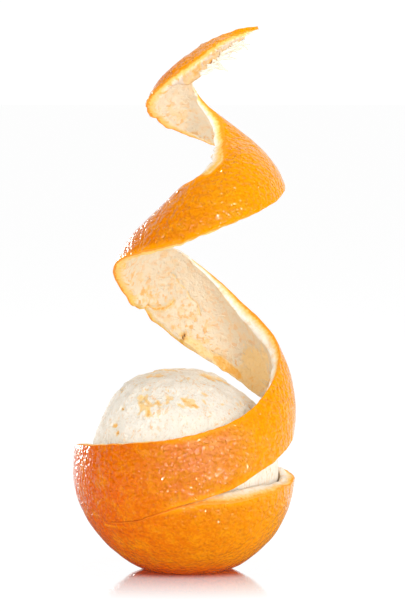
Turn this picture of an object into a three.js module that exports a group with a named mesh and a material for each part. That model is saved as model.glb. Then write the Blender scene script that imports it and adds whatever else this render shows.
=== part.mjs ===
// A sweet orange, half peeled in one spiral. The peel below is still whole and holds the fruit like a
// bowl. From it the cut ribbon climbs anticlockwise, seen from above, for more than two turns and ends
// in a thin tip. Two solids: the peel (bowl and ribbon in one) and the fruit.
// Millimetres, +Z up. The bowl stands on its flat foot, whose centre is the origin; the slit where the
// ribbon leaves the bowl faces -Y. A turn angle counts anticlockwise from +X, in degrees.
import * as THREE from "three";

// ---- the whole orange
const ORANGE_RADIUS = 40;
const CENTRE_HEIGHT = 37; // less than the radius, so the bowl has a flat foot
const CENTRE = new THREE.Vector3(0, 0, CENTRE_HEIGHT);

// ---- the peel
const BOWL_THICKNESS = 4.8;
const RIBBON_THICKNESS = 3.8;
const TIP_THICKNESS = 2.2;
const THINNING = { from: 360, to: 660, tipFrom: 960 }; // turn angles where the peel gets thinner
const CROWN_RADIUS = 40; // how round the ribbon stays across its width
const TOP_CROWN_RADIUS = 28; // the upper coil curls more
const TIP_CROWN_RADIUS = 20; // and the tip most
const CURLING = { from: 600, to: 720, tipFrom: 810, tipTo: 920 };
const AXIS_DRIFT = 6; // the coil's axis moves this far towards +X
const DRIFTING = { from: 360, to: 560 };
const FOOT_SHIFT = 1.1; // the orange isn't a perfect ball: its lower part stands this far towards +X
const FOOT_SHIFT_HEIGHT = 36; // height where that has died out

// ---- where the knife went
const SLIT_START = -145; // turn angle at which the cut begins, on the front left
const SLIT_GAP = 0.4; // the slit starts closed to this gap and stays so for the first stretch
const SLIT_LIFT = 0.3; // how far the ribbon has sprung out over that stretch
const SLIT_END = 270; // the turn angle from which the ribbon hangs free, in rows of its own
const FULL_TURN = 360;

// Height of the first cut on the round of the orange, [turn angle, height].
const FIRST_CUT = [
  [SLIT_START, 19.8],
  [-120, 21.2],
  [-90, 27.6],
  [-75, 29.3],
  [-60, 30.6],
  [-30, 33.6],
  [0, 34.8],
  [90, 38.5],
  [180, 44.9],
  [225, 48],
];

// The free ribbon, mostly one row for each eighth of a turn:
// [turn angle, lower edge radius, lower edge height, upper edge radius, upper edge height].
const FREE_RIBBON = [
  [SLIT_END, 39.2, 28.1, 37.6, 51.9],
  [292.5, 39.7, 32.4, 36.4, 55.6],
  [315, 39.9, 39.1, 34.3, 61],
  [360, 39.4, 51, 34.4, 78.3],
  [405, 36, 62, 31.5, 93],
  [450, 33, 76, 28.5, 110.5],
  [495, 32, 93, 24, 120.5],
  [540, 31.4, 108, 18.5, 125.5],
  [585, 30.5, 115.2, 16.5, 133.5],
  [607.5, 30.2, 117.8, 16.9, 138.1],
  [630, 30, 121.8, 17, 143],
  [675, 31, 130.3, 10.5, 152],
  [720, 30.2, 138, 7.6, 156.5],
  [765, 27.5, 146, 8.2, 163],
  [810, 24, 153.6, 6.2, 169.5],
  [855, 21, 159.9, 4.5, 175.5],
  [900, 19.6, 167, 3.8, 181],
  [945, 16.9, 175.2, 1.5, 185.8],
  [990, 15, 184, 1.8, 188.3],
  [1015, 15.1, 188.8, 5.8, 189.3],
  [1035, 15.5, 191.2, 10.2, 191.5],
  [1050, 17.4, 192.6, 15.2, 193.6],
  [1070, 20.8, 193.6, 20.6, 194.8],
];

// ---- the fruit
const FRUIT_RADIUS = 34.5; // clear of the peel's inside
const FRUIT_HALF_HEIGHT = 35.3;
const FRUIT_SQUARENESS = 1.95; // 2 would be an ellipse; less makes sloping shoulders
const FRUIT_LEAN = 2.3; // the top leans this far towards -X
const LEANING = { from: 16, to: 32 }; // heights above the centre
const POLE_HOLLOW = { depth: 1.2, radius: 6 };
const SEGMENTS = 10;
const SEGMENT_GROOVE = 0.9;

// ---- how finely the surfaces are divided
const STEP = 7.5; // degrees for each column of faces
const COLUMNS_A_TURN = FULL_TURN / STEP;
const RIBBON_ROWS = 6;
const BOWL_ROWS = 6;
const FRUIT_COLUMNS = 60;
const FRUIT_ROWS = 24;

const { degToRad, lerp, smoothstep } = THREE.MathUtils;

// A smooth curve through rows of [x, value, value...]: returns x => [value, value...].
function curveThrough(rows) {
  const last = rows.length - 1;
  const slope = (i, k) => (rows[i + 1][k] - rows[i][k]) / (rows[i + 1][0] - rows[i][0]);
  const tangent = (i, k) => {
    if (i === 0) return slope(0, k);
    if (i === last) return slope(last - 1, k);
    const before = rows[i][0] - rows[i - 1][0];
    const after = rows[i + 1][0] - rows[i][0];
    return (slope(i - 1, k) * after + slope(i, k) * before) / (before + after);
  };
  return (x) => {
    let i = 0;
    while (i < last - 1 && x > rows[i + 1][0]) i += 1;
    const span = rows[i + 1][0] - rows[i][0];
    const t = (x - rows[i][0]) / span;
    const rise = t * t * (3 - 2 * t);
    const leave = t * (1 - t) * (1 - t) * span;
    const arrive = -t * t * (1 - t) * span;
    return rows[i]
      .map((value, k) => lerp(value, rows[i + 1][k], rise) + leave * tangent(i, k) + arrive * tangent(i + 1, k))
      .slice(1);
  };
}

const radiusOnOrange = (height) => Math.sqrt(ORANGE_RADIUS ** 2 - (height - CENTRE_HEIGHT) ** 2);

const cutHeight = curveThrough(FIRST_CUT);

// Edges of the peel strip as [radius, height]. Up to the free ribbon the upper edge is the first cut,
// and for its first turn the strip's lower edge is the rim of the whole bowl.
const upperEdge = curveThrough([
  ...FIRST_CUT.map(([turn, height]) => [turn, radiusOnOrange(height), height]),
  ...FREE_RIBBON.map(([turn, , , radius, height]) => [turn, radius, height]),
]);

const RIM_HEIGHT = FIRST_CUT[0][1];
const SLIT_MARKS = [0, 0.2, 0.4, 0.6, 0.8]; // shares of the closed slit's length
const slitTurn = SLIT_START + FULL_TURN;

const lowerEdge = curveThrough([
  ...SLIT_MARKS.map((share) => {
    const turn = lerp(slitTurn, SLIT_END, share);
    const opening = smoothstep(share, 0, SLIT_MARKS[1]);
    const height = cutHeight(turn - FULL_TURN)[0] + SLIT_GAP * opening;
    return [turn, radiusOnOrange(height) + SLIT_LIFT * opening, height];
  }),
  ...FREE_RIBBON.map(([turn, radius, height]) => [turn, radius, height]),
]);

const thicknessAt = (turn) =>
  lerp(BOWL_THICKNESS, RIBBON_THICKNESS, smoothstep(turn, THINNING.from, THINNING.to)) -
  (RIBBON_THICKNESS - TIP_THICKNESS) * smoothstep(turn, THINNING.tipFrom, FREE_RIBBON.at(-1)[0]);

const crownAt = (turn) =>
  lerp(CROWN_RADIUS, TOP_CROWN_RADIUS, smoothstep(turn, CURLING.from, CURLING.to)) -
  (TOP_CROWN_RADIUS - TIP_CROWN_RADIUS) * smoothstep(turn, CURLING.tipFrom, CURLING.tipTo);

const axisShift = (turn) => AXIS_DRIFT * smoothstep(turn, DRIFTING.from, DRIFTING.to);

const footShift = (height) => FOOT_SHIFT * (1 - smoothstep(height, 0, FOOT_SHIFT_HEIGHT));

// The point at a turn angle, a distance from the coil's axis and a height.
function around(turn, radius, height) {
  const angle = degToRad(turn);
  return new THREE.Vector3(
    axisShift(turn) + footShift(height) + radius * Math.cos(angle),
    radius * Math.sin(angle),
    height,
  );
}

// The strip's cross section at one turn angle: an arc from the lower to the upper edge. Returns
// (share of its width, depth below the skin) => point.
function sectionAt(turn) {
  const low = turn <= slitTurn
    ? new THREE.Vector2(radiusOnOrange(RIM_HEIGHT), RIM_HEIGHT)
    : new THREE.Vector2(...lowerEdge(turn));
  const high = new THREE.Vector2(...upperEdge(turn));
  const chord = high.clone().sub(low);
  const crown = crownAt(turn);
  const halfAngle = Math.asin(chord.length() / 2 / crown);
  const facing = chord.angle() - Math.PI / 2;
  const middle = low.clone().add(high).multiplyScalar(0.5);
  const sink = crown * Math.cos(halfAngle);
  return (share, depth) => {
    const angle = facing + (2 * share - 1) * halfAngle;
    const reach = crown - depth;
    return around(
      turn,
      middle.x - sink * Math.cos(facing) + reach * Math.cos(angle),
      middle.y - sink * Math.sin(facing) + reach * Math.sin(angle),
    );
  };
}

// Collects points and faces of one closed surface.
class Surface {
  positions = [];
  triangles = [];

  point(v) {
    this.positions.push(v.x, v.y, v.z);
    return this.positions.length / 3 - 1;
  }

  // A four-sided face, anticlockwise seen from outside. Where corners coincide it is a triangle.
  face(a, b, c, d) {
    for (const [p, q, r] of [[a, b, c], [a, c, d]])
      if (p !== q && q !== r && r !== p) this.triangles.push(p, q, r);
  }

  geometry() {
    const made = new THREE.BufferGeometry();
    made.setAttribute("position", new THREE.Float32BufferAttribute(this.positions, 3));
    made.setIndex(this.triangles);
    made.computeVertexNormals();
    return made;
  }
}

// Rings of a sphere about the orange's centre, from one angle off straight down to another.
function sphereRings(surface, radius, from, to) {
  return Array.from({ length: BOWL_ROWS + 1 }, (_, row) => {
    const angle = lerp(from, to, row / BOWL_ROWS);
    return Array.from({ length: COLUMNS_A_TURN }, (_, column) =>
      surface.point(
        around(
          SLIT_START + column * STEP,
          radius * Math.sin(angle),
          CENTRE_HEIGHT - radius * Math.cos(angle),
        ),
      ),
    );
  });
}

function makePeel() {
  const surface = new Surface();
  const innerRadius = ORANGE_RADIUS - BOWL_THICKNESS;
  const footAngle = Math.acos(CENTRE_HEIGHT / ORANGE_RADIUS);
  const rimAngle = Math.acos((CENTRE_HEIGHT - RIM_HEIGHT) / ORANGE_RADIUS);
  const poleAngle = rimAngle / (BOWL_ROWS + 1);

  const outside = sphereRings(surface, ORANGE_RADIUS, footAngle, rimAngle);
  const inside = sphereRings(surface, innerRadius, poleAngle, rimAngle);
  const foot = surface.point(around(0, 0, 0));
  const floor = surface.point(around(0, 0, CENTRE_HEIGHT - innerRadius));
  for (let column = 0; column < COLUMNS_A_TURN; column += 1) {
    const next = (column + 1) % COLUMNS_A_TURN;
    surface.face(foot, foot, outside[0][next], outside[0][column]);
    surface.face(floor, floor, inside[0][column], inside[0][next]);
    for (let row = 0; row < BOWL_ROWS; row += 1) {
      const [low, high] = [outside[row], outside[row + 1]];
      surface.face(low[column], low[next], high[next], high[column]);
      const [deep, raised] = [inside[row], inside[row + 1]];
      surface.face(deep[next], deep[column], raised[column], raised[next]);
    }
  }

  // Columns of the strip. For the first turn its lowest point is the bowl's rim, and the first column
  // is the slit's start, a single point of that rim.
  const strip = (rim, depthAt) => {
    const count = (FREE_RIBBON.at(-1)[0] - SLIT_START) / STEP;
    return Array.from({ length: count + 1 }, (_, column) => {
      if (column === 0) return Array(RIBBON_ROWS + 1).fill(rim[0]);
      const turn = SLIT_START + column * STEP;
      const section = sectionAt(turn);
      return Array.from({ length: RIBBON_ROWS + 1 }, (_, row) =>
        row === 0 && column <= COLUMNS_A_TURN
          ? rim[column % COLUMNS_A_TURN]
          : surface.point(section(row / RIBBON_ROWS, depthAt(turn))),
      );
    });
  };
  const skin = strip(outside[BOWL_ROWS], () => 0);
  const pith = strip(inside[BOWL_ROWS], thicknessAt);
  for (let column = 0; column < skin.length - 1; column += 1) {
    const [skinHere, skinNext, pithHere, pithNext] = [
      skin[column],
      skin[column + 1],
      pith[column],
      pith[column + 1],
    ];
    for (let row = 0; row < RIBBON_ROWS; row += 1) {
      surface.face(skinHere[row], skinNext[row], skinNext[row + 1], skinHere[row + 1]);
      surface.face(pithNext[row], pithHere[row], pithHere[row + 1], pithNext[row + 1]);
    }
    const top = RIBBON_ROWS;
    surface.face(skinHere[top], skinNext[top], pithNext[top], pithHere[top]);
    if (column >= COLUMNS_A_TURN) surface.face(skinNext[0], skinHere[0], pithHere[0], pithNext[0]);
  }
  const [skinTip, pithTip] = [skin.at(-1), pith.at(-1)];
  for (let row = 0; row < RIBBON_ROWS; row += 1)
    surface.face(skinTip[row], pithTip[row], pithTip[row + 1], skinTip[row + 1]);
  return surface.geometry();
}

// The peeled ball: a round body with broad shoulders, soft grooves between its segments and a shallow
// hollow at the top, where it leans a little to one side.
function makeFruit() {
  const geometry = new THREE.SphereGeometry(1, FRUIT_COLUMNS, FRUIT_ROWS).rotateX(Math.PI / 2);
  const points = geometry.getAttribute("position");
  const point = new THREE.Vector3();
  for (let i = 0; i < points.count; i += 1) {
    point.fromBufferAttribute(points, i);
    const spread = Math.hypot(point.x, point.y);
    const turn = Math.atan2(point.y, point.x);
    const upper = point.z > 0;
    const power = upper ? FRUIT_SQUARENESS : 2;
    const size = (spread ** power + Math.abs(point.z) ** power) ** (-1 / power);
    const groove = (1 - Math.abs(Math.sin((SEGMENTS / 2) * turn))) ** 2;
    const radius = size * spread * (FRUIT_RADIUS - SEGMENT_GROOVE * groove * spread);
    const height = size * point.z * (upper ? FRUIT_HALF_HEIGHT : FRUIT_RADIUS);
    const hollow = upper ? POLE_HOLLOW.depth * Math.exp(-((radius / POLE_HOLLOW.radius) ** 2)) : 0;
    const lean = FRUIT_LEAN * smoothstep(height, LEANING.from, LEANING.to);
    const shift = footShift(height + CENTRE.z) - lean;
    points.setXYZ(i, radius * Math.cos(turn) + shift, radius * Math.sin(turn), height - hollow);
  }
  geometry.translate(0, 0, CENTRE.z);
  geometry.computeVertexNormals();
  return geometry;
}

const skinLook = new THREE.MeshStandardMaterial({ color: 0xf28a1a, roughness: 0.45, metalness: 0 });
const pithLook = new THREE.MeshStandardMaterial({ color: 0xf7ecd4, roughness: 0.75, metalness: 0 });

function named(name, geometry, material) {
  const mesh = new THREE.Mesh(geometry, material);
  mesh.name = name;
  return mesh;
}

const orange = new THREE.Group();
orange.add(named("peel", makePeel(), skinLook));
orange.add(named("fruit", makeFruit(), pithLook));

export default orange;
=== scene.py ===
"""A sweet orange, half peeled in one long spiral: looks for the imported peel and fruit.

The peel is one piece, a bowl that runs up into a ribbon of more than two turns. Its skin is a grid
laid round the coil, extruded inwards to the thickness of the pith. The peeled fruit sits in the bowl,
and threads of pith hang where the peel is torn. Shape functions work in millimetres; a mesh gets them
in metres. A turn angle counts anticlockwise from +X, in degrees, and goes on past 360 up the coil.
"""

import bisect
import math
import random

import bmesh
import bpy
from mathutils import Matrix, Vector, noise


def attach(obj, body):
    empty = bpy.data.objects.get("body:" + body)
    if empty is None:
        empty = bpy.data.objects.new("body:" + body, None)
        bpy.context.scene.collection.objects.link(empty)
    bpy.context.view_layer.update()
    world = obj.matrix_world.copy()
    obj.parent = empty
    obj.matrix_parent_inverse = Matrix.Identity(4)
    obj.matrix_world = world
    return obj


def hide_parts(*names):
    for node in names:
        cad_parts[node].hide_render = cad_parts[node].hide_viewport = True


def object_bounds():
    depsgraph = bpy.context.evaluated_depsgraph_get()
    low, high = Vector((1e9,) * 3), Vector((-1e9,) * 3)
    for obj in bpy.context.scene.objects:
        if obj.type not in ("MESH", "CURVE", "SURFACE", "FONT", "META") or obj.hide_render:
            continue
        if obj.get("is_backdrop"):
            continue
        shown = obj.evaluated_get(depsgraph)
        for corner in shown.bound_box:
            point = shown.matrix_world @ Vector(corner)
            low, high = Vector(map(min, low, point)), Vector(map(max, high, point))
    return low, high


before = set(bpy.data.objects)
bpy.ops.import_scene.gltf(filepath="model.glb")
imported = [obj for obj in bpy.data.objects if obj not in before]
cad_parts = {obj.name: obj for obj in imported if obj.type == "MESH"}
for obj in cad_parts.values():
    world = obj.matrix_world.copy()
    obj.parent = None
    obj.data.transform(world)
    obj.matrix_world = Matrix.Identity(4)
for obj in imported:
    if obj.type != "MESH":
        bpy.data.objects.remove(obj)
cad_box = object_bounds()

MM = 0.001

# ---- the whole orange, as in the CAD model
ORANGE_RADIUS = 40.0
CENTRE_HEIGHT = 37.0
RIM_HEIGHT = 19.8
SLIT_START = -145.0
FULL_TURN = 360.0
SLIT_TURN = SLIT_START + FULL_TURN
RIBBON_END = 1070.0
LIP_STEP_UP = 0.4
LIP_STEP_OUT = 0.3

# ---- thickness of the peel, roundness of the ribbon across, and how far it all leans towards +X
LOW_THICKNESS = 4.8
HIGH_THICKNESS = 3.8
TIP_THINNING = 1.6
COIL_CROWN = 28
TIP_CROWN_LOSS = 8
COIL_LEAN = 6
FOOT_LEAN = 1.1

# Height of the first cut on the round of the orange: turn angle, height.
FIRST_CUT = [
    (SLIT_START, RIM_HEIGHT),
    (-120, 21.2),
    (-90, 27.6),
    (-75, 29.3),
    (-60, 30.6),
    (-30, 33.6),
    (0, 34.8),
    (90, 38.5),
    (180, 44.9),
    (225, 48),
]

# The free ribbon: turn angle, lower edge radius and height, upper edge radius and height.
FREE_RIBBON = [
    (270, 39.2, 28.1, 37.6, 51.9),
    (292.5, 39.7, 32.4, 36.4, 55.6),
    (315, 39.9, 39.1, 34.3, 61),
    (360, 39.4, 51, 34.4, 78.3),
    (405, 36, 62, 31.5, 93),
    (450, 33, 76, 28.5, 110.5),
    (495, 32, 93, 24, 120.5),
    (540, 31.4, 108, 18.5, 125.5),
    (585, 30.5, 115.2, 16.5, 133.5),
    (607.5, 30.2, 117.8, 16.9, 138.1),
    (630, 30, 121.8, 17, 143),
    (675, 31, 130.3, 10.5, 152),
    (720, 30.2, 138, 7.6, 156.5),
    (765, 27.5, 146, 8.2, 163),
    (810, 24, 153.6, 6.2, 169.5),
    (855, 21, 159.9, 4.5, 175.5),
    (900, 19.6, 167, 3.8, 181),
    (945, 16.9, 175.2, 1.5, 185.8),
    (990, 15, 184, 1.8, 188.3),
    (1015, 15.1, 188.8, 5.8, 189.3),
    (1035, 15.5, 191.2, 10.2, 191.5),
    (1050, 17.4, 192.6, 15.2, 193.6),
    (RIBBON_END, 20.8, 193.6, 20.6, 194.8),
]

# ---- how finely the peel is divided
COLUMNS_A_TURN = 288
COLUMN_WIDTH = 0.82
RIBBON_ROWS = 38
BOWL_ROWS = 40
EDGE_CROWDING = 0.4


# ---------------------------------------------------------------- plain helpers


def lerp(a, b, share):
    return a + (b - a) * share


def ease(value, start, end):
    """0 before start, 1 after end, and a smooth rise between them."""
    t = min(1.0, max(0.0, (value - start) / (end - start)))
    return t * t * (3 - 2 * t)


def hump(value, centre, reach):
    """1 at the centre, falling smoothly to 0 at that reach on both sides."""
    return 1 - ease(abs(value - centre), 0, reach)


def curve_through(rows):
    """A smooth curve through rows of (x, value, value...)."""
    xs = [row[0] for row in rows]
    values = [row[1:] for row in rows]
    slopes = [
        [(b - a) / (xs[i + 1] - xs[i]) for a, b in zip(values[i], values[i + 1])]
        for i in range(len(rows) - 1)
    ]
    tangents = [slopes[0]]
    for i in range(1, len(rows) - 1):
        before = xs[i] - xs[i - 1]
        after = xs[i + 1] - xs[i]
        tangents.append(
            [(a * after + b * before) / (before + after) for a, b in zip(slopes[i - 1], slopes[i])]
        )
    tangents.append(slopes[-1])

    def at(x):
        i = min(max(bisect.bisect_left(xs, x) - 1, 0), len(xs) - 2)
        span = xs[i + 1] - xs[i]
        t = (x - xs[i]) / span
        rise = t * t * (3 - 2 * t)
        leave = t * (1 - t) * (1 - t) * span
        arrive = -t * t * (1 - t) * span
        return [
            lerp(a, b, rise) + leave * m + arrive * n
            for a, b, m, n in zip(values[i], values[i + 1], tangents[i], tangents[i + 1])
        ]

    return at


def grain(point, size, seed=0.0):
    """Soft noise from -1 to 1, with features of that size in millimetres."""
    return noise.noise(point / size + Vector((seed, 3.1 * seed, -1.7 * seed)))


# ---------------------------------------------------------------- the coil


def radius_on_orange(height):
    return math.sqrt(ORANGE_RADIUS**2 - (height - CENTRE_HEIGHT) ** 2)


cut_height = curve_through(FIRST_CUT)
upper_edge = curve_through(
    [(turn, radius_on_orange(z), z) for turn, z in FIRST_CUT]
    + [(turn, r, z) for turn, _, _, r, z in FREE_RIBBON]
)


def closed_slit_rows():
    """The ribbon's lower edge where it has only just left the bowl."""
    for share in (0, 0.2, 0.4, 0.6, 0.8):
        turn = lerp(SLIT_TURN, FREE_RIBBON[0][0], share)
        opening = ease(share, 0, 0.2)
        height = cut_height(turn - FULL_TURN)[0] + LIP_STEP_UP * opening
        yield (turn, radius_on_orange(height) + LIP_STEP_OUT * opening, height)


lower_edge = curve_through([*closed_slit_rows(), *(row[:3] for row in FREE_RIBBON)])


def thickness_at(turn):
    thickness = lerp(LOW_THICKNESS, HIGH_THICKNESS, ease(turn, 360, 660))
    return thickness - TIP_THINNING * ease(turn, 960, RIBBON_END)


def axis_shift(turn):
    """The free coil stands this far towards +X."""
    return COIL_LEAN * ease(turn, 360, 560)


def foot_shift(height):
    """The orange isn't a perfect ball: its lower part stands a little towards +X."""
    return FOOT_LEAN * (1 - ease(height, 0, 36))


class Section:
    """The ribbon cut across at one turn angle: an arc from its lower to its upper edge."""

    def __init__(self, turn):
        low = (radius_on_orange(RIM_HEIGHT), RIM_HEIGHT)
        if turn > SLIT_TURN:
            low = lower_edge(turn)
        high = upper_edge(turn)
        across = high[0] - low[0]
        rise = high[1] - low[1]
        self.width = math.hypot(across, rise)
        self.crown = lerp(ORANGE_RADIUS, COIL_CROWN, ease(turn, 600, 720))
        self.crown -= TIP_CROWN_LOSS * ease(turn, 810, 920)
        self.half_angle = math.asin(min(1.0, self.width / 2 / self.crown))
        self.facing = math.atan2(rise, across) - math.pi / 2
        sink = self.crown * math.cos(self.half_angle)
        self.centre_radius = (low[0] + high[0]) / 2 - sink * math.cos(self.facing)
        self.centre_height = (low[1] + high[1]) / 2 - sink * math.sin(self.facing)
        self.thickness = thickness_at(turn)
        angle = math.radians(turn)
        self.way_out = Vector((math.cos(angle), math.sin(angle), 0))
        self.axis = Vector((axis_shift(turn), 0, 0))

    def point(self, share, depth):
        """The point at a share of the width, that many millimetres below the skin."""
        angle = self.facing + (2 * share - 1) * self.half_angle
        reach = self.crown - depth
        out = self.centre_radius + reach * math.cos(angle)
        height = self.centre_height + reach * math.sin(angle)
        return self.axis + self.way_out * out + Vector((foot_shift(height), 0, height))


RIM_ANGLE = math.acos((CENTRE_HEIGHT - RIM_HEIGHT) / ORANGE_RADIUS)
FOOT_ANGLE = math.acos(CENTRE_HEIGHT / ORANGE_RADIUS)
BOWL_THICKNESS = thickness_at(0)


def bowl_point(turn, share, depth):
    """A point of the bowl: share -1 is the middle of its foot, and 0 its rim."""
    angle = RIM_ANGLE * (1 + share)
    reach = ORANGE_RADIUS - depth
    spin = math.radians(turn)
    out = reach * math.sin(angle)
    height = CENTRE_HEIGHT - reach * math.cos(angle)
    if angle < FOOT_ANGLE:
        height = lerp(0, CENTRE_HEIGHT - ORANGE_RADIUS + BOWL_THICKNESS, depth / BOWL_THICKNESS)
    shift = foot_shift(height)
    return Vector((out * math.cos(spin) + shift, out * math.sin(spin), max(0, height)))


def turns_of_columns():
    """Turn angles of the grid's columns, about as far apart as the rows all the way up."""
    turns = [SLIT_START + i * FULL_TURN / COLUMNS_A_TURN for i in range(COLUMNS_A_TURN + 1)]
    while turns[-1] < RIBBON_END:
        step = math.degrees(COLUMN_WIDTH / lower_edge(turns[-1])[0])
        turns.append(turns[-1] + step)
    stretch = (RIBBON_END - SLIT_TURN) / (turns[-1] - SLIT_TURN)
    return [
        turn if turn <= SLIT_TURN else SLIT_TURN + (turn - SLIT_TURN) * stretch for turn in turns
    ]


TURNS = turns_of_columns()
SECTIONS = {}


def section_at(turn):
    key = round(turn, 4)
    if key not in SECTIONS:
        SECTIONS[key] = Section(turn)
    return SECTIONS[key]


def ribbon_share(step):
    """Share of the ribbon's width for a row, with the rows closer together at both edges."""
    even = step / RIBBON_ROWS
    return even - EDGE_CROWDING * math.sin(2 * math.pi * even) / (2 * math.pi)


# ---------------------------------------------------------------- relief of the peel

# Tears and creases in the pith: depth, half width, and points of (turn angle, share of the width).
CREASES = [
    (0.9, 0.9, [(466, 0.72), (458, 0.65), (453, 0.62), (451, 0.56), (445, 0.56), (444, 0.47)]),
    (1.3, 1.0, [(492, -0.02), (488, 0.02), (483, 0.1), (477, 0.17), (470, 0.26), (463, 0.42)]),
    (1.8, 0.7, [(457, -0.03), (456, 0.06), (454, 0.14)]),
    (1.6, 1.1, [(551, -0.03), (549, 0.05), (546, 0.12)]),
]

# Hollows where most of the pith is gone: turn, share, reach along, reach across, depth, thinness.
HOLLOWS = [
    (399, 0.34, 10.5, 9.5, 0.9, 0.65),
    (404, 0.1, 9.0, 6.0, 0.7, 0.75),
    (423, 0.06, 10.5, 3.6, 0.8, 1.0),
    (447, 0.05, 9.0, 3.0, 0.5, 0.75),
    (388, 0.62, 3.6, 6.0, 0.5, 0.5),
    (548, 0.03, 3.0, 2.4, 0.4, 1.0),
]

# Bits of the cut edges that stand out or are nicked: upper edge or not, turn, half length in
# degrees, millimetres outwards, and how far below the skin they begin, as a share of the thickness.
EDGE_BITS = [
    (True, -9, 7, 1.1, 0.0),
    (True, 15, 10, 1.6, 0.4),
    (True, 455, 9, 0.8, 0.35),
    (True, 644, 6, 0.9, 0.3),
    (True, 657, 4, -0.9, 0.5),
    (True, 668, 6, 1.0, 0.3),
    (True, 690, 5, 0.7, 0.3),
    (True, 835, 10, 1.5, 0.3),
    (False, 500, 6, 1.2, 0.0),
    (False, 486, 6.5, -2.2, 0.0),
    (False, 473, 8, -0.6, 0.0),
    (False, 457, 2.5, -1.2, 0.2),
    (False, 549, 4, -0.8, 0.0),
    (False, 846, 7, 0.5, 0.0),
    (False, 862, 5, -0.5, 0.0),
    (False, 873, 4, 0.4, 0.0),
    (False, 888, 6, -0.5, 0.0),
    (False, 617, 4, 0.7, 0.0),
]

# Where the cut slants: upper edge or not, turn angles between which the slant grows and dies out,
# and the millimetres by which the skin and the pith end beyond the plain cut there.
SLANTS = [
    (True, (-118, -106, -55, -25), 0, 1.7),
    (True, (-90, -55, 5, 70), -1.9, -2.2),
    (True, (-90, -60, -38, -8), 0, 1.4),
    (True, (165, 190, 250, 285), 0, 1.6),
    (True, (285, 330, 395, 425), 0, -2.4),
    (True, (405, 432, 515, 560), 0, 2.2),
    (True, (548, 573, 600, 624), 1.9, 1.5),
    (True, (624, 642, 655, 688), -3.0, 0),
    (True, (605, 635, 765, 820), -0.8, 2.8),
    (True, (600, 638, 664, 690), 0, 1.7),
    (False, (480, 520, 560, 600), 0, -1.6),
    (False, (770, 795, 865, 900), 0, -3.2),
    (False, (940, 985, 1038, 1060), 0, 7.4),
]

# Stains on the torn pith under the tip: turn angle, share of the thickness, reach in millimetres
# and strength.
FLAP_STAINS = [
    (985, 0.5, 2.2, 0.95),
    (978, 0.8, 1.6, 0.8),
    (1003, 0.72, 1.1, 1.7),
    (1006, 0.9, 0.9, 1.4),
    (1017, 0.6, 1.2, 0.8),
    (1028, 0.8, 1.3, 0.7),
]
FLAP_START = 965

# How far from a cut, in millimetres, its raggedness is felt, and a distance that is past all cuts.
CUT_REACH = 5
FAR = 99.0

# Shares of the thickness: above the first the peel moves with its skin, below the second with its pith.
SKIN_LAYER = 0.2
PITH_LAYER = 0.8


def flap_stain(turn, inward, point):
    strongest = 0.0
    for middle, deep, reach, strength in FLAP_STAINS:
        away = math.hypot((turn - middle) * 0.26, (inward - deep) * 6) / reach
        if away < 2:
            away += 0.5 * grain(point, 1.2, 25)
            strongest = max(strongest, strength * (1 - ease(away, 0.5, 1.0)))
    return strongest


def flat_gap(turn, share, other_turn, other_share):
    """Millimetres along and across the ribbon between two of its points."""
    section = section_at(turn)
    out = section.point(0.5, 0) - section.axis
    along = math.radians(other_turn - turn) * math.hypot(out.x, out.y)
    return along, (other_share - share) * section.width


def crease_depth(turn, share):
    deepest = 0.0
    for depth, half_width, points in CREASES:
        if not points[-1][0] - 8 < turn < points[0][0] + 8:
            continue
        flat = [Vector(flat_gap(turn, share, *point)) for point in points]
        nearest = FAR
        for a, b in zip(flat, flat[1:]):
            t = min(1.0, max(0.0, -a.dot(b - a) / (b - a).length_squared))
            nearest = min(nearest, (a + (b - a) * t).length)
        deepest = max(deepest, depth * (1 - ease(nearest, 0, half_width)))
    return deepest


def hollow_depth(turn, share, point):
    """Depth of the hollows at a point, and how thin they leave the pith, from 0 to 1."""
    deepest = 0.0
    thinnest = 0.0
    for other_turn, other_share, along, across, depth, thin in HOLLOWS:
        if abs(turn - other_turn) > 40:
            continue
        x, y = flat_gap(turn, share, other_turn, other_share)
        ragged = 0.22 * grain(point, 3.5, 4.0)
        away = math.hypot(x / along, y / across) + ragged
        inside = 1 - ease(away, 0.55, 1.05)
        deepest = max(deepest, depth * inside)
        thinnest = max(thinnest, thin * inside)
    return deepest, thinnest


def edge_out(turn, upper, inward):
    """How far the cut edge stands out past the plain cut, in millimetres."""
    total = 0.0
    for is_upper, middle, reach, out, begins in EDGE_BITS:
        if is_upper == upper and abs(turn - middle) < reach:
            from_skin = ease(inward, begins - 0.1, begins + 0.25) if begins else 1.0
            total += out * hump(turn, middle, reach) * from_skin
    for is_upper, (grow, grown, fade, gone), at_skin, at_pith in SLANTS:
        if is_upper == upper and grow < turn < gone:
            grown_share = ease(turn, grow, grown) * (1 - ease(turn, fade, gone))
            total += lerp(at_skin, at_pith, inward) * grown_share
    return total


def closed_share(turn):
    """1 where the first cut's two lips still touch, 0 where they have parted."""
    if turn < 0:
        return 1 - ease(turn, -112, -92)
    return 1 - ease(turn, 248, 268)


def skin_lift(point, turn):
    """Swells of the skin, in millimetres outwards."""
    lift = 0.24 * grain(point, 9, 1) + 0.12 * grain(point, 3.6, 2) + 0.07 * grain(point, 1.9, 3)
    return lift + 0.24 * ease(turn, 840, 940) * grain(point, 1.6, 5)


def pith_lift(point, turn, share):
    """Lumps, creases and hollows of the pith in millimetres, and how thin it is left; along the creases
    the thinness is partly torn pith and partly painted shade.
    """
    lift = 0.35 * grain(point, 8, 6) + 0.24 * grain(point, 3.6, 7) + 0.12 * grain(point, 1.9, 8)
    if turn < 250:
        return lift, 0.0
    crease = crease_depth(turn, share)
    hollow, thin = hollow_depth(turn, share, point)
    # Creases count as thin: partly torn pith showing the zest, partly painted shade in the crease.
    return lift - crease - hollow, max(thin, 0.95 * crease)


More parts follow.
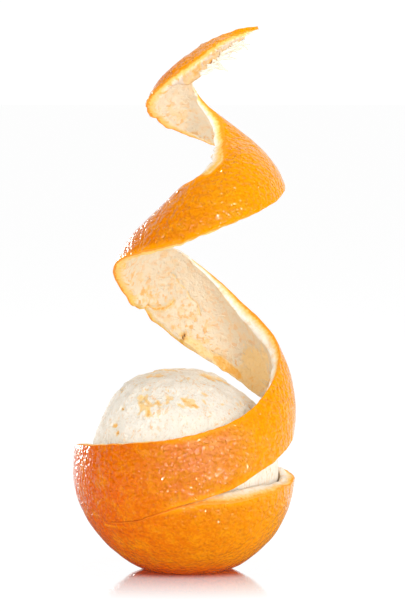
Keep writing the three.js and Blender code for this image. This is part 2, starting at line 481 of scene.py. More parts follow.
def place_in_bowl(turn, share, inward):
    plain = bowl_point(turn, share, inward * BOWL_THICKNESS)
    out = (plain - Vector((0, 0, CENTRE_HEIGHT))).normalized()
    if inward < 0.5:
        lift = skin_lift(plain, turn) * ease(plain.z, 0.0, 2.5)
    else:
        lift = -pith_lift(plain, turn, share)[0]
    from_cut = section_at(turn).width - share * RIM_ANGLE * ORANGE_RADIUS
    return plain + out * lift, from_cut, inward * BOWL_THICKNESS, 0.0


def place(turn, share, inward):
    """Where a point of the peel goes. Inward is 0 at the skin and 1 at the pith's own surface.
    Returns the point, its distance from the cut edge, its depth below the skin and its thinness."""
    if share < 0:
        return place_in_bowl(turn, share, inward)
    section = section_at(turn)
    width = max(section.width, 1e-6)
    depth = inward * section.thickness
    plain = section.point(share, depth)
    from_top = (1 - share) * width
    from_bottom = share * width if turn > SLIT_TURN else FAR
    thin = 0.0
    if inward < SKIN_LAYER:
        depth -= skin_lift(plain, turn) * (1 - ease(inward, 0, SKIN_LAYER))
    if inward > PITH_LAYER:
        lift, thin = pith_lift(plain, turn, share)
        depth += lift * ease(inward, PITH_LAYER, 1)
    closed = closed_share(turn)
    rounding = -lerp(0.3, 0.22, closed) * (1 - ease(inward, 0, 0.14)) - 0.4 * ease(inward, 0.85, 1)
    wander = 0.26 * grain(plain, 2.6, 9) * (1 + 1.6 * inward) + 0.2 * grain(plain, 7, 10)
    wander += 0.16 * grain(plain, 1.5, 14) * inward
    start = ease(turn, SLIT_START, SLIT_START + 25)
    loose = ease(turn, SLIT_TURN, SLIT_TURN + 20)
    top = (rounding + wander + edge_out(turn, True, inward)) * start
    bottom = (rounding - wander * (2 * closed - 1) + edge_out(turn, False, inward) + 0.45 * closed)
    top *= 1 - ease(from_top, 0, CUT_REACH)
    bottom *= (1 - ease(from_bottom, 0, CUT_REACH)) * loose
    shift = min(top, 0.5 * width) - min(bottom, 0.5 * width)
    point = section.point(share + shift / width, depth)
    pared = ease(turn, 610, 650) * (1 - ease(turn, 700, 745))
    from_cut = min(from_top * (1 - 0.5 * pared), from_bottom) + 3 * closed
    stretch = max(abs(top), abs(bottom), 0.3) if inward > 0 else 0
    if turn > FLAP_START and share == 0:
        thin = max(thin, 0.5 * ease(inward, 0.3, 0.6), flap_stain(turn, inward, plain))
    # Along the closed slit, thin on the skin holds a painted shade line in the crack between the lips.
    if inward < SKIN_LAYER and from_bottom < 1:
        thin = closed * ease(turn, 219, 230) * (1 - ease(from_bottom, 0.15, 0.8))
    down_the_wall = math.hypot(depth, max(0, stretch - 0.8))
    down_the_wall *= 1 + 2.4 * ease(turn, 900, 985)
    return point, from_cut, down_the_wall, thin


# ---------------------------------------------------------------- the peel

# The peel's three materials, by their places in its list.
SKIN_SIDE = 0
CUT_SIDE = 1
PITH_SIDE = 2

WALL_CUTS = 6
SEAM_GAP = 0.02
FOOT_ROWS = 6


def make_peel():
    mesh = bmesh.new()
    turn_of = mesh.verts.layers.float.new("turn")
    share_of = mesh.verts.layers.float.new("share")
    inward_of = mesh.verts.layers.float.new("inward")
    from_cut_of = mesh.verts.layers.float.new("from_cut")
    depth_of = mesh.verts.layers.float.new("depth")
    thin_of = mesh.verts.layers.float.new("thin")

    def lay_grid(columns, rows, turns, share_at):
        made = bmesh.ops.create_grid(mesh, x_segments=columns, y_segments=rows, size=1)
        for vert in made["verts"]:
            column = round((vert.co.x + 1) / 2 * columns)
            row = round((vert.co.y + 1) / 2 * rows)
            vert[turn_of] = turns[column]
            vert[share_of] = share_at(row)
            if vert[share_of] < 0:
                vert.co = bowl_point(vert[turn_of], vert[share_of], 0)
            else:
                vert.co = section_at(turns[column]).point(vert[share_of], 0)

    lay_grid(COLUMNS_A_TURN, BOWL_ROWS, TURNS, bowl_share)
    lay_grid(len(TURNS) - 1, RIBBON_ROWS, TURNS, ribbon_share)
    bmesh.ops.remove_doubles(mesh, verts=mesh.verts, dist=SEAM_GAP)
    bmesh.ops.recalc_face_normals(mesh, faces=mesh.faces)

    skin = list(mesh.faces)
    for face in skin:
        face.material_index = SKIN_SIDE
    grown = bmesh.ops.extrude_face_region(mesh, geom=skin, use_keep_orig=True)
    pith_verts = {g for g in grown["geom"] if isinstance(g, bmesh.types.BMVert)}
    pith_faces = {g for g in grown["geom"] if isinstance(g, bmesh.types.BMFace)}
    for vert in pith_verts:
        vert[inward_of] = 1.0
    for face in pith_faces:
        face.material_index = PITH_SIDE
    walls = [f for f in mesh.faces if f not in pith_faces and any(v in pith_verts for v in f.verts)]
    for face in walls:
        face.material_index = CUT_SIDE
    across = [e for e in mesh.edges if (e.verts[0] in pith_verts) != (e.verts[1] in pith_verts)]
    bmesh.ops.subdivide_edges(mesh, edges=across, cuts=WALL_CUTS, use_grid_fill=True)
    for vert in mesh.verts:
        inward = vert[inward_of]
        point, from_cut, depth, thin = place(vert[turn_of], vert[share_of], inward)
        vert.co = point * MM
        vert[from_cut_of] = from_cut
        vert[depth_of] = depth
        vert[thin_of] = thin
    bmesh.ops.recalc_face_normals(mesh, faces=mesh.faces)
    for face in mesh.faces:
        face.smooth = True
    return finished(mesh, "peel_spiral")


def bowl_share(row):
    """Share for a row of the bowl, with only a few rows under its foot."""
    foot_share = FOOT_ANGLE / RIM_ANGLE
    if row <= FOOT_ROWS:
        return -1 + foot_share * row / FOOT_ROWS
    return -1 + lerp(foot_share, 1, (row - FOOT_ROWS) / (BOWL_ROWS - FOOT_ROWS))


def finished(mesh, name):
    """A scene object with this mesh, which is then let go."""
    data = bpy.data.meshes.new(name)
    mesh.to_mesh(data)
    mesh.free()
    made = bpy.data.objects.new(name, data)
    bpy.context.scene.collection.objects.link(made)
    return made


# ---------------------------------------------------------------- the fruit

FRUIT_RADIUS = 34.5
FRUIT_TOP = 35.3
SEGMENTS = 10
GROOVE_DEPTH = 0.9
DIMPLE_DEPTH = 1.2
DIMPLE_REACH = 6
TOP_LEAN = 2.3
FRUIT_COLUMNS = 260
FRUIT_RINGS = 150


def fruit_surface(direction):
    """The peeled fruit's surface along a unit direction from its centre, in millimetres."""
    spread = math.hypot(direction.x, direction.y)
    upper = direction.z > 0
    power = 1.95 if upper else 2.0
    size = (spread**power + abs(direction.z) ** power) ** (-1 / power)
    spin = math.atan2(direction.y, direction.x)
    groove = (1 - abs(math.sin(SEGMENTS / 2 * spin))) ** 2
    radius = size * spread * (FRUIT_RADIUS - GROOVE_DEPTH * groove * spread)
    height = size * direction.z * (FRUIT_TOP if upper else FRUIT_RADIUS)
    if upper:
        height -= DIMPLE_DEPTH * math.exp(-((radius / DIMPLE_REACH) ** 2))
    shift = foot_shift(height + CENTRE_HEIGHT) - TOP_LEAN * ease(height, 16, 32)
    return Vector(
        (radius * math.cos(spin) + shift, radius * math.sin(spin), height + CENTRE_HEIGHT)
    )


# Tan spots and brown dashes on the fruit: turn angle, height, reach in millimetres, strength.
FRUIT_SPOTS = [
    (240, 61, 3.8, 0.85),
    (244, 58.5, 1.8, 1.0),
    (235, 63.5, 2.4, 0.8),
    (250, 61.8, 2.0, 0.9),
    (262, 63.6, 1.8, 0.8),
    (277, 62.7, 3.2, 0.85),
    (284, 61.2, 1.7, 1.0),
    (200, 70.2, 3.4, 0.9),
    (222, 70.6, 2.8, 0.8),
    (335, 69.6, 3.6, 0.9),
    (350, 67.6, 2.6, 0.8),
    (297, 65, 1.8, 0.8),
    (217, 59, 1.2, 1.4),
    (221, 51.5, 1.1, 1.3),
    (215, 53.5, 1.2, 1.1),
    (260, 48.4, 1.0, 1.3),
    (336, 59, 1.5, 1.5),
    (331, 57.5, 1.1, 1.3),
    (120, 60, 3.2, 0.9),
    (95, 66, 2.6, 0.8),
    (40, 62, 2.8, 0.9),
    (150, 52, 1.7, 1.3),
]


def fruit_direction(turn, height):
    """The way from the fruit's centre to a spot at that turn angle and about that height."""
    rise = (height - CENTRE_HEIGHT) / 35
    flat = math.sqrt(max(0.0, 1 - rise * rise))
    spin = math.radians(turn)
    return Vector((flat * math.cos(spin), flat * math.sin(spin), rise))


def make_fruit():
    mesh = bmesh.new()
    bare_of = mesh.verts.layers.float.new("bare")
    spots = [
        (fruit_surface(fruit_direction(turn, height)), reach, strength)
        for turn, height, reach, strength in FRUIT_SPOTS
    ]
    bmesh.ops.create_uvsphere(mesh, u_segments=FRUIT_COLUMNS, v_segments=FRUIT_RINGS, radius=1)
    for vert in mesh.verts:
        direction = vert.co.normalized()
        point = fruit_surface(direction)
        shown = ease(point.z, 40, 48)
        lift = 0.4 * grain(point, 7, 11) + 0.32 * grain(point, 3.2, 12) + 0.16 * grain(point, 1.5, 13)
        spin = math.degrees(math.atan2(direction.y, direction.x))
        strings = noise.noise(Vector((spin / 9, point.z / 22, 5.0)))
        lift += 0.5 * strings * ease(point.z, 54, 62) * (1 - ease(point.z, 69, 71))
        patch = grain(point, 8.5, 21) + 0.35 * grain(point, 2.4, 22)
        lift += 0.55 * ease(patch, 0.0, 0.12) * ease(point.z, 52, 60)
        torn = hump(patch, 0.05, 0.1) * ease(point.z, 55, 62) * ease(grain(point, 6, 23), -0.1, 0.25)
        bare = 0.75 * torn
        for centre, reach, strength in spots:
            away = (point - centre).length
            if away < 2 * reach:
                away = away / reach + 0.9 * grain(point, 1.7, 24)
                bare = max(bare, strength * (1 - ease(away, 0.45, 0.95)))
        vert[bare_of] = bare
        lift = lift * (0.25 + 0.75 * shown) - 0.25 * (1 - shown) - 0.3 * bare
        vert.co = (point + direction * lift) * MM
    for face in mesh.faces:
        face.smooth = True
    return finished(mesh, "peeled_fruit")


# ---------------------------------------------------------------- loose fibres

THREAD_STEPS = 7
THREAD_TAPER = 0.75
THREAD_CURL = 0.42
FLAP_THREADS = 16
BARE_THREADS = 13


def strand(start, way, length, thick, rng):
    """A curling thread of pith as a curve object with a closed round tube, thinner towards its free
    end.
    """
    curve = bpy.data.curves.new("strand", "CURVE")
    curve.dimensions = "3D"
    curve.bevel_depth = 1.0
    curve.bevel_resolution = 1
    curve.use_fill_caps = True
    line = curve.splines.new("POLY")
    line.points.add(THREAD_STEPS - 1)
    here = Vector(start)
    heading = Vector(way).normalized()
    for i, knot in enumerate(line.points):
        knot.co = (*(here * MM), 1)
        knot.radius = thick * MM * (1 - THREAD_TAPER * i / (THREAD_STEPS - 1))
        swerve = Vector((rng.uniform(-1, 1), rng.uniform(-1, 1), rng.uniform(-1, 1)))
        heading = (heading + THREAD_CURL * swerve).normalized()
        here = here + heading * (length / (THREAD_STEPS - 1))
    made = bpy.data.objects.new("strand", curve)
    bpy.context.scene.collection.objects.link(made)
    return made


def make_fibres():
    """Frayed threads on the torn pith under the tip, and a few where the pith has been stripped."""
    rng = random.Random(11)
    made = []
    for i in range(FLAP_THREADS):
        turn = 990 + 3.0 * i + rng.uniform(-2, 2)
        root = place(turn, 0.0, rng.uniform(0.6, 0.95))[0]
        way = (1.0, -0.15, rng.uniform(-0.3, 0.35))
        made.append(strand(root, way, rng.uniform(3.5, 7.5), rng.uniform(0.6, 1.1), rng))
    sliver = place(1066, 0.0, 0.6)[0]
    made.append(strand(sliver, (-1.0, -0.1, -0.5), 8.5, 0.6, rng))
    for _ in range(BARE_THREADS):
        turn = rng.uniform(386, 426)
        share = rng.uniform(0.15, 0.75)
        root = place(turn, share, 1.0)[0]
        inner = (section_at(turn).axis - root).normalized()
        way = (rng.uniform(-0.6, 0.2), inner.y * 0.25, rng.uniform(-0.2, 1.0))
        made.append(strand(root, way, rng.uniform(2.5, 5.0), rng.uniform(0.12, 0.22), rng))
    mesh = bmesh.new()
    bpy.context.view_layer.update()
    graph = bpy.context.evaluated_depsgraph_get()
    for item in made:
        thread = bpy.data.meshes.new_from_object(item.evaluated_get(graph))
        mesh.from_mesh(thread)
    for item in made:
        bpy.data.objects.remove(item)
    bmesh.ops.remove_doubles(mesh, verts=mesh.verts, dist=1e-6)
    bmesh.ops.recalc_face_normals(mesh, faces=mesh.faces)
    for face in mesh.faces:
        face.smooth = True
    return finished(mesh, "pith_fibres")


# ---------------------------------------------------------------- materials


def add(tree, kind, inputs=None, **settings):
    """Adds a node. Inputs are values, or other nodes' sockets to link from."""
    node = tree.nodes.new(kind)
    for key, value in settings.items():
        setattr(node, key, value)
    for key, value in (inputs or {}).items():
        if isinstance(value, bpy.types.NodeSocket):
            tree.links.new(value, node.inputs[key])
        else:
            node.inputs[key].default_value = value
    return node


def calc(tree, operation, a, b=0.0, c=0.0):
    return add(tree, "ShaderNodeMath", {0: a, 1: b, 2: c}, operation=operation).outputs[0]


def span(tree, value, start, end, low=0.0, high=1.0):
    """A smooth step from low to high while the value goes from start to end."""
    made = add(
        tree,
        "ShaderNodeMapRange",
        {"Value": value, 1: start, 2: end, 3: low, 4: high},
        interpolation_type="SMOOTHSTEP",
    )
    return made.outputs[0]


def mix(tree, share, a, b):
    """The colour that share of the way from a to b."""
    return add(tree, "ShaderNodeMix", {0: share, 6: a, 7: b}, data_type="RGBA").outputs[2]


def clouds(tree, where, size, detail=2.0, roughness=0.5, bend=0.0):
    """Noise from 0 to 1 with features of that size in millimetres."""
    made = add(
        tree,
        "ShaderNodeTexNoise",
        {"Vector": where, "Scale": 1 / size, "Detail": detail, "Roughness": roughness},
    )
    made.inputs["Distortion"].default_value = bend
    return made.outputs["Fac"]


def cells(tree, where, size):
    """Distance from the nearest of scattered points, as a share of their spacing."""
    return add(tree, "ShaderNodeTexVoronoi", {"Vector": where, "Scale": 1 / size}).outputs["Distance"]


def warped(tree, where, size, amount):
    """The same place, pushed about by soft noise."""
    push = add(tree, "ShaderNodeTexNoise", {"Vector": where, "Scale": 1 / size, "Detail": 1.0})
    centred = add(
        tree,
        "ShaderNodeVectorMath",
        {0: push.outputs["Color"], 1: (0.5, 0.5, 0.5)},
        operation="SUBTRACT",
    )
    scaled = add(
        tree,
        "ShaderNodeVectorMath",
        {0: centred.outputs[0], "Scale": amount},
        operation="SCALE",
    )
    moved = add(
        tree, "ShaderNodeVectorMath", {0: where, 1: scaled.outputs[0]}, operation="ADD"
    )
    return moved.outputs[0]


def length_of(tree, vector):
    return add(tree, "ShaderNodeVectorMath", {0: vector}, operation="LENGTH").outputs["Value"]


def new_group(name, inputs, outputs):
    group = bpy.data.node_groups.new(name, "ShaderNodeTree")
    for key, kind, value in inputs:
        socket = group.interface.new_socket(name=key, in_out="INPUT", socket_type=kind)
        if value is not None:
            socket.default_value = value
    for key, kind in outputs:
        group.interface.new_socket(name=key, in_out="OUTPUT", socket_type=kind)
    source = group.nodes.new("NodeGroupInput")
    return group, source.outputs


def close_group(group, outputs):
    sink = group.nodes.new("NodeGroupOutput")
    for key, socket in outputs.items():
        group.links.new(socket, sink.inputs[key])
    return group


FLOAT = "NodeSocketFloat"
COLOUR = "NodeSocketColor"
VECTOR = "NodeSocketVector"

# ---- colours of the skin
RED_ORANGE_SHADED_SIDE = (0.69, 0.103, 0.001, 1)
ORANGE = (0.71, 0.195, 0.001, 1)
YELLOW_ORANGE_LIT_SIDE = (0.84, 0.315, 0.002, 1)
GOLDEN_PATCH = (0.86, 0.34, 0.002, 1)
PEBBLE_TOP_PAINTED_LIGHT = (0.93, 0.38, 0.006, 1)
PEBBLE_DIP_PAINTED_SHADE = (0.62, 0.09, 0.001, 1)
RED_FOOT_PAINTED_SHADE = (0.85, 0.06, 0.0005, 1)
BRIGHT_BAND = (0.96, 0.33, 0.0, 1)
CRACK_PAINTED_SHADE = (0.42, 0.07, 0.002, 1)

# ---- colours of the pith, the threads and the fruit
DULL_WHITE = (0.93, 0.86, 0.74, 1)
CLEAN_WHITE = (0.97, 0.93, 0.85, 1)
DULL_CREAM = (0.81, 0.63, 0.41, 1)
CLEAN_CREAM = (0.88, 0.76, 0.575, 1)
TAN_BLOT = (0.92, 0.61, 0.27, 1)
ORANGE_FLECK = (0.86, 0.48, 0.15, 1)
AMBER = (0.98, 0.7, 0.33, 1)
DEEP_AMBER = (0.97, 0.5, 0.08, 1)
STAIN_AND_CREASE_SHADE_BROWN = (0.42, 0.15, 0.05, 1)
DEEP_WALL_TAN = (0.42, 0.14, 0.05, 1)
YELLOW_ZEST = (0.94, 0.57, 0.1, 1)
THREAD_CREAM = (0.98, 0.89, 0.73, 1)
GREY_FILM = (0.45, 0.42, 0.42, 1)
TAN_VEIN = (0.8, 0.56, 0.33, 1)


def rind_group():
    """Waxy orange skin: oil-gland pits, golden zones and a bright band at the cut. It is redder towards
    -X and more yellow towards +X, partly its own tone and partly painted shade and painted light; its
    pebble tops carry painted light and their dips painted shade, and its foot painted shade.
    """
    tree, given = new_group(
        "orange_rind",
        [("Place", VECTOR, None), ("From cut", FLOAT, 10.0)],
        [("Color", COLOUR), ("Roughness", FLOAT), ("Height", FLOAT)],
    )
    place_in = given["Place"]
    bent = warped(tree, place_in, 2.6, 1.3)
    pit = span(tree, cells(tree, bent, 1.6), 0.05, 0.6)
    knobs = clouds(tree, bent, 1.5, 0.0)
    swell = clouds(tree, place_in, 3.4, 1.0)
    height = calc(tree, "MULTIPLY_ADD", pit, 0.45, calc(tree, "MULTIPLY", knobs, 1.2))
    height = calc(tree, "MULTIPLY_ADD", swell, 1.2, height)
    pebbles = span(tree, clouds(tree, bent, 0.95, 1.0, 0.5), 0.3, 0.7)

    position = add(tree, "ShaderNodeSeparateXYZ", {0: place_in}).outputs
    up = position["Z"]
    across = calc(tree, "MULTIPLY_ADD", up, 0.1, position["X"])
    across = calc(tree, "MULTIPLY_ADD", clouds(tree, place_in, 12), 12, across)
    # Redder towards -X and more yellow towards +X: partly the skin's own tone, partly painted shade on
    # the -X side and painted light on the lit +X side.
    colour = mix(tree, span(tree, across, -28, 16), RED_ORANGE_SHADED_SIDE, ORANGE)
    colour = mix(tree, span(tree, across, 10, 48), colour, YELLOW_ORANGE_LIT_SIDE)
    golden = span(tree, clouds(tree, place_in, 5, 3), 0.45, 0.7, 0.0, 0.35)
    colour = mix(tree, golden, colour, GOLDEN_PATCH)
    # Pebble tops made lighter and their dips darker: painted light and painted shade on the skin's
    # texture.
    high = span(tree, pebbles, 0.55, 1.0, 0.0, 0.15)
    colour = mix(tree, high, colour, PEBBLE_TOP_PAINTED_LIGHT)
    low = span(tree, pebbles, 0.0, 0.7, 0.22, 0.0)
    colour = mix(tree, low, colour, PEBBLE_DIP_PAINTED_SHADE)
    # Redder and darker towards the base: painted shade and painted bounce light where the skin meets
    # the table.
    foot = span(tree, up, 0.0, 6.5, 0.6, 0.0)
    colour = mix(tree, foot, colour, RED_FOOT_PAINTED_SHADE)
    band = calc(tree, "SUBTRACT", 0.75, span(tree, given["From cut"], 0.3, 2.8, 0.0, 0.75))
    colour = mix(tree, band, colour, BRIGHT_BAND)
    rough = calc(tree, "MULTIPLY_ADD", clouds(tree, place_in, 5), 0.07, 0.045)
    return close_group(tree, {"Color": colour, "Roughness": rough, "Height": height})


def pith_group():
    """Spongy white pith: soft lumps, short fibres, and orange showing where it is thin; the thinness
    given along creases is partly painted shade.
    """
    tree, given = new_group(
        "white_pith",
        [
            ("Place", VECTOR, None),
            ("Thin", FLOAT, 0.0),
            ("Mottle", FLOAT, 0.5),
            ("Warmth", FLOAT, 0.5),
        ],
        [("Color", COLOUR), ("Roughness", FLOAT), ("Height", FLOAT)],
    )
    place_in = given["Place"]
    bent = warped(tree, place_in, 3.0, 1.6)
    lumps = clouds(tree, bent, 2.0, 4.0, 0.6)
    pores = span(tree, cells(tree, bent, 1.1), 0.1, 0.55)
    height = calc(tree, "MULTIPLY_ADD", lumps, 1.2, calc(tree, "MULTIPLY", pores, 0.25))
    broad = clouds(tree, place_in, 11, 2)
    white = mix(tree, broad, DULL_WHITE, CLEAN_WHITE)
    warm = mix(tree, broad, DULL_CREAM, CLEAN_CREAM)
    colour = mix(tree, given["Warmth"], white, warm)
    patchy = span(tree, clouds(tree, place_in, 9, 2), 0.35, 0.6, 0.35, 1.0)
    mottle = calc(tree, "MULTIPLY", patchy, given["Mottle"])
    blots = span(tree, clouds(tree, bent, 3.0, 2.5, 0.6), 0.46, 0.62)
    colour = mix(tree, calc(tree, "MULTIPLY", blots, mottle), colour, TAN_BLOT)
    flecks = span(tree, clouds(tree, place_in, 2.0, 1.5), 0.54, 0.64)
    colour = mix(tree, calc(tree, "MULTIPLY", flecks, mottle), colour, ORANGE_FLECK)
    torn = calc(tree, "SUBTRACT", clouds(tree, bent, 1.5, 4.0, 0.6), 0.5)
    ragged = calc(tree, "ADD", torn, given["Thin"])
    amber = mix(tree, span(tree, ragged, 0.7, 1.05), AMBER, DEEP_AMBER)
    colour = mix(tree, span(tree, ragged, 0.12, 0.6), colour, amber)
    # Brown for the stains on the torn flap, and painted shade in the deepest creases.
    colour = mix(tree, span(tree, ragged, 1.1, 1.5), colour, STAIN_AND_CREASE_SHADE_BROWN)
    rough = calc(tree, "MULTIPLY_ADD", lumps, 0.2, span(tree, ragged, 0.1, 0.6, 0.55, 0.3))
    return close_group(tree, {"Color": colour, "Roughness": rough, "Height": height})


RIND = rind_group()
PITH = pith_group()


def new_material(name):
    """A material, its node tree, and object coordinates in millimetres."""
    material = bpy.data.materials.new(name)
    material.use_nodes = True
    tree = material.node_tree
    tree.nodes.clear()
    coordinates = add(tree, "ShaderNodeTexCoord").outputs["Object"]
    in_mm = add(
        tree, "ShaderNodeMapping", {"Vector": coordinates, "Scale": (1 / MM,) * 3}
    ).outputs[0]
    return material, tree, in_mm


def use_group(tree, group, **inputs):
    node = tree.nodes.new("ShaderNodeGroup")
    node.node_tree = group
    for key, value in inputs.items():
        socket = node.inputs[key.replace("_", " ")]
        if isinstance(value, bpy.types.NodeSocket):
            tree.links.new(value, socket)
        else:
            socket.default_value = value
    return node.outputs


def attribute(tree, name):
    return add(tree, "ShaderNodeAttribute", attribute_name=name).outputs["Fac"]


def surface(tree, colour, rough, height, relief_mm, **constants):
    """Ends a material: one Principled shader with bumps that stand up to that many millimetres."""
    bumps = add(tree, "ShaderNodeBump", {"Height": height, "Distance": relief_mm * MM})
    shader = add(
        tree,
        "ShaderNodeBsdfPrincipled",
        {"Base Color": colour, "Roughness": rough, "Normal": bumps.outputs[0]},
    )
    for key, value in constants.items():
        shader.inputs[key.replace("_", " ")].default_value = value
    out = add(tree, "ShaderNodeOutputMaterial")
    tree.links.new(shader.outputs[0], out.inputs[0])


def skin_material():
    """The outer skin, with a painted shade line where the cut has not opened yet."""
    material, tree, place_in = new_material("orange_skin")
    rind = use_group(tree, RIND, Place=place_in, From_cut=attribute(tree, "from_cut"))
    # A painted shade line in the closed slit, carried by the thin attribute.
    crack_shade = span(tree, attribute(tree, "thin"), 0.15, 0.8, 0.0, 0.5)
    colour = mix(tree, crack_shade, rind["Color"], CRACK_PAINTED_SHADE)
    surface(
        tree,
        colour,
        rind["Roughness"],
        rind["Height"],
        0.6,
        IOR=1.46,
        Specular_IOR_Level=0.25,
    )
    return material


def cut_material():
    """The cut face: a ragged rim of orange zest that fades through yellow into the pith."""
    material, tree, place_in = new_material("cut_edge")
    rind = use_group(tree, RIND, Place=place_in, From_cut=0.0)
    thin = attribute(tree, "thin")
    share = attribute(tree, "share")
    mottle = span(tree, share, 0.0, 1.0, 0.9, 0.4)
    warmth = span(tree, share, 0.0, 1.0, 0.6, 0.0)
    pith = use_group(tree, PITH, Place=place_in, Thin=thin, Mottle=mottle, Warmth=warmth)
    depth = attribute(tree, "depth")
    ragged = calc(tree, "MULTIPLY_ADD", clouds(tree, place_in, 1.1, 3.0), -1.8, depth)
    reach = span(tree, share, 0.0, 1.0, 4.6, 2.8)
    yellow = calc(tree, "SUBTRACT", 1.0, calc(tree, "DIVIDE", ragged, reach))
    yellow = span(tree, yellow, 0.0, 1.0)
    zest = span(tree, ragged, -0.3, 0.5, 1.0, 0.0)
    # More tan deeper down the cut wall, most on the torn flap under the tip.
    deep_tan = span(tree, depth, 4.0, 9.0, 0.0, 0.36)
    colour = mix(tree, deep_tan, pith["Color"], DEEP_WALL_TAN)
    colour = mix(tree, yellow, colour, YELLOW_ZEST)
    colour = mix(tree, zest, colour, rind["Color"])
    surface(tree, colour, pith["Roughness"], pith["Height"], 0.4, IOR=1.4)
    return material


def pith_material():
    """The peel's inner side, more stained towards its lower edge."""
    material, tree, place_in = new_material("inner_pith")
    thin = attribute(tree, "thin")
    mottle = span(tree, attribute(tree, "share"), -0.05, 0.8, 1.1, 0.4)
    pith = use_group(tree, PITH, Place=place_in, Thin=thin, Mottle=mottle, Warmth=0.9)
    surface(tree, pith["Color"], pith["Roughness"], pith["Height"], 0.8, IOR=1.4)
    return material


def fruit_material():
    """The fruit's thin white coat, with tan veins and bare patches."""
    material, tree, place_in = new_material("peeled_flesh")
    bare = attribute(tree, "bare")
    long = add(tree, "ShaderNodeMapping", {"Vector": place_in, "Scale": (1, 1, 0.25)}).outputs[0]
    streaks = span(tree, clouds(tree, long, 1.6, 3.0, 0.6, 1.2), 0.5, 0.66, 0.0, 0.75)
    pith = use_group(tree, PITH, Place=place_in, Thin=bare, Mottle=streaks, Warmth=0.18)
    veins = span(tree, clouds(tree, long, 1.1, 2.0, 0.5, 1.8), 0.56, 0.72, 0.0, 0.5)
    colour = mix(tree, 0.08, pith["Color"], GREY_FILM)
    colour = mix(tree, veins, colour, TAN_VEIN)
    height = calc(tree, "MULTIPLY_ADD", veins, -0.25, pith["Height"])
    surface(tree, colour, pith["Roughness"], height, 0.7, IOR=1.4)
    return material


def fibre_material():
    """Creamy threads of pith."""
    material, tree, place_in = new_material("pith_threads")
    pith = use_group(tree, PITH, Place=place_in, Thin=0.0, Mottle=0.1, Warmth=0.7)
    colour = mix(tree, 0.5, pith["Color"], THREAD_CREAM)
    surface(tree, colour, pith["Roughness"], pith["Height"], 0.1, IOR=1.4)
    return material


# ---------------------------------------------------------------- the stage

WHITE = (1, 1, 1, 1)
DARK_GREY = (0.12, 0.12, 0.12, 1)
PALE_GREY = (0.6, 0.6, 0.6, 1)
TABLE_REACH = 40
LIGHTS_AIM = Vector((0, 0, 0.09))
VIEW_CENTRE = Vector((0.00664, 0, 0.09486))
VIEW_DISTANCE = 1.1
VIEW_TILT = math.radians(4)
SENSOR = 36
LENS = 180.4


def make_floor():
    """A glossy white table top, far wider than the view. It mirrors only what stands near it."""
    mesh = bmesh.new()
    bmesh.ops.create_grid(mesh, x_segments=8, y_segments=8, size=TABLE_REACH)
    floor = finished(mesh, "white_table")
    material, tree, place_in = new_material("glossy_white")
    away = length_of(tree, place_in)
    matt = add(tree, "ShaderNodeBsdfDiffuse", {"Color": DARK_GREY})
    glow = add(tree, "ShaderNodeEmission", {"Color": WHITE, "Strength": 0.93})
    bright = add(tree, "ShaderNodeAddShader", {0: matt.outputs[0], 1: glow.outputs[0]})
    ripples = add(
        tree,
        "ShaderNodeBump",
        {"Height": clouds(tree, place_in, 0.2), "Distance": 0.004 * MM},
    )
    gloss = add(
        tree,
        "ShaderNodeBsdfGlossy",
        {"Color": WHITE, "Roughness": 0.0, "Normal": ripples.outputs[0]},
    )
    oval = add(tree, "ShaderNodeMapping", {"Vector": place_in, "Scale": (0.6, 1, 1)}).outputs[0]
    off = length_of(tree, oval)
    fading = add(tree, "ShaderNodeMapRange", {"Value": off, 1: 20, 2: 72, 3: 0.67, 4: 0}).outputs[0]
    share = calc(tree, "ADD", fading, span(tree, off, 14, 26, 0.32, 0.0))
    seen = add(tree, "ShaderNodeMixShader", {0: share, 1: bright.outputs[0], 2: gloss.outputs[0]})
    dull = add(tree, "ShaderNodeBsdfDiffuse", {"Color": PALE_GREY})
    # For bounced rays the table glows, weaker near the foot: painted light on the orange from below in
    # place of light bounced off the table, and a painted shadow round the foot.
    lift = add(tree, "ShaderNodeEmission", {"Strength": span(tree, away, 5, 38, 0.08, 0.6)})
    plain = add(tree, "ShaderNodeAddShader", {0: dull.outputs[0], 1: lift.outputs[0]})
    path = add(tree, "ShaderNodeLightPath").outputs
    near = span(tree, away, 50, 200, 0.95, 0.0)
    mirrored = calc(tree, "MULTIPLY", path["Is Glossy Ray"], near)
    bounced = add(tree, "ShaderNodeMixShader", {0: mirrored, 1: plain.outputs[0], 2: matt.outputs[0]})
    both = add(
        tree,
        "ShaderNodeMixShader",
        {0: path["Is Camera Ray"], 1: bounced.outputs[0], 2: seen.outputs[0]},
    )
    out = add(tree, "ShaderNodeOutputMaterial")
    tree.links.new(both.outputs[0], out.inputs[0])
    floor.data.materials.append(material)
    floor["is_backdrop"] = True


def chosen(tree, switch, otherwise, value):
    """The value where the switch is 1, and the other one where it is 0."""
    return add(tree, "ShaderNodeMapRange", {"Value": switch, 3: otherwise, 4: value}).outputs[0]


def make_world():
    """White to the eye and in the table. The skin sees it bright behind and dim in front."""
    world = bpy.data.worlds.new("white_studio")
    bpy.context.scene.world = world
    world.use_nodes = True
    tree = world.node_tree
    tree.nodes.clear()
    way = add(tree, "ShaderNodeTexCoord").outputs["Generated"]
    depth = add(tree, "ShaderNodeSeparateXYZ", {0: way}).outputs["Y"]
    mirrored = span(tree, depth, 0.0, 0.9, 0.03, 1.0)
    path = add(tree, "ShaderNodeLightPath").outputs
    mirrored = calc(tree, "MAXIMUM", mirrored, path["Is Singular Ray"])
    strength = chosen(tree, path["Is Diffuse Ray"], mirrored, 0.44)
    strength = chosen(tree, path["Is Camera Ray"], strength, 1.05)
    sky = add(tree, "ShaderNodeBackground", {"Color": WHITE, "Strength": strength})
    out = add(tree, "ShaderNodeOutputWorld")
    tree.links.new(sky.outputs[0], out.inputs[0])


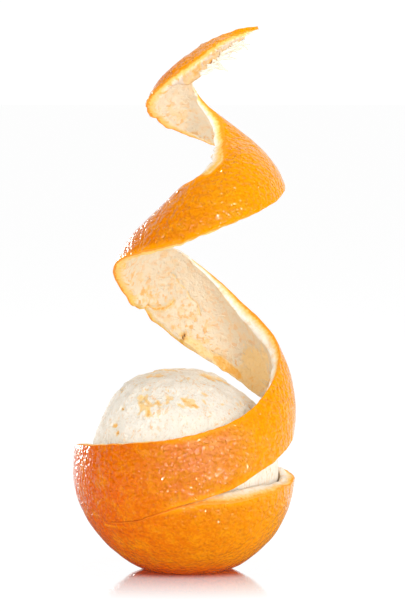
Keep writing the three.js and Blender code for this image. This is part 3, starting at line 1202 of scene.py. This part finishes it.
def softbox(name, place_at, width, height, watts, gleam=False):
    """A soft light aimed at the object. A gleam only shows as its reflection on shiny skin."""
    light = bpy.data.lights.new(name, "AREA")
    light.shape = "RECTANGLE"
    light.size = width
    light.size_y = height
    light.energy = watts
    lamp = bpy.data.objects.new(name, light)
    lamp.visible_glossy = gleam
    lamp.visible_diffuse = not gleam
    way = LIGHTS_AIM - Vector(place_at)
    turned = way.to_track_quat("-Z", "Y").to_matrix().to_4x4()
    lamp.matrix_world = Matrix.Translation(place_at) @ turned
    bpy.context.scene.collection.objects.link(lamp)


def make_lights():
    softbox("key", (0.62, -0.95, 0.45), 0.3, 0.5, 6.0)
    softbox("right_fill", (1.1, 0.1, 0.4), 0.5, 0.8, 3.2)
    softbox("top", (0.1, 0.05, 1.2), 0.6, 0.6, 5.2)
    softbox("left_fill", (-0.85, -0.75, 0.5), 0.4, 0.8, 4.6)
    softbox("right_gleam", (0.5, -1.0, 0.26), 0.05, 0.36, 27.0, gleam=True)
    softbox("left_gleam", (-0.5, -0.9, 0.35), 0.04, 0.26, 3.0, gleam=True)
    softbox("rim_gleam", (-0.45, 1.0, 0.06), 0.5, 0.36, 6.0, gleam=True)


def make_camera():
    """Level with the middle of the object and four degrees above it, a little over a metre away."""
    camera = bpy.data.cameras.new("camera")
    camera.sensor_fit = "VERTICAL"
    camera.sensor_height = SENSOR
    camera.sensor_width = SENSOR
    camera.lens = LENS
    made = bpy.data.objects.new("camera", camera)
    back = Vector((0, -math.cos(VIEW_TILT), math.sin(VIEW_TILT)))
    made.location = VIEW_CENTRE + back * VIEW_DISTANCE
    made.rotation_euler = (math.radians(90) - VIEW_TILT, 0, 0)
    bpy.context.scene.collection.objects.link(made)
    bpy.context.scene.camera = made


# ---------------------------------------------------------------- putting it together

bpy.context.scene.view_settings.view_transform = "Standard"
make_world()
make_lights()
make_camera()
make_floor()

peel = make_peel()
for material in (skin_material(), cut_material(), pith_material()):
    peel.data.materials.append(material)
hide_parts("peel")
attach(peel, "root")

fruit = make_fruit()
fruit.data.materials.append(fruit_material())
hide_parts("fruit")
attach(fruit, "root")

fibres = make_fibres()
fibres.data.materials.append(fibre_material())
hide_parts("peel")
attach(fibres, "root")

[[list(corner) for corner in box] for box in (cad_box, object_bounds())]
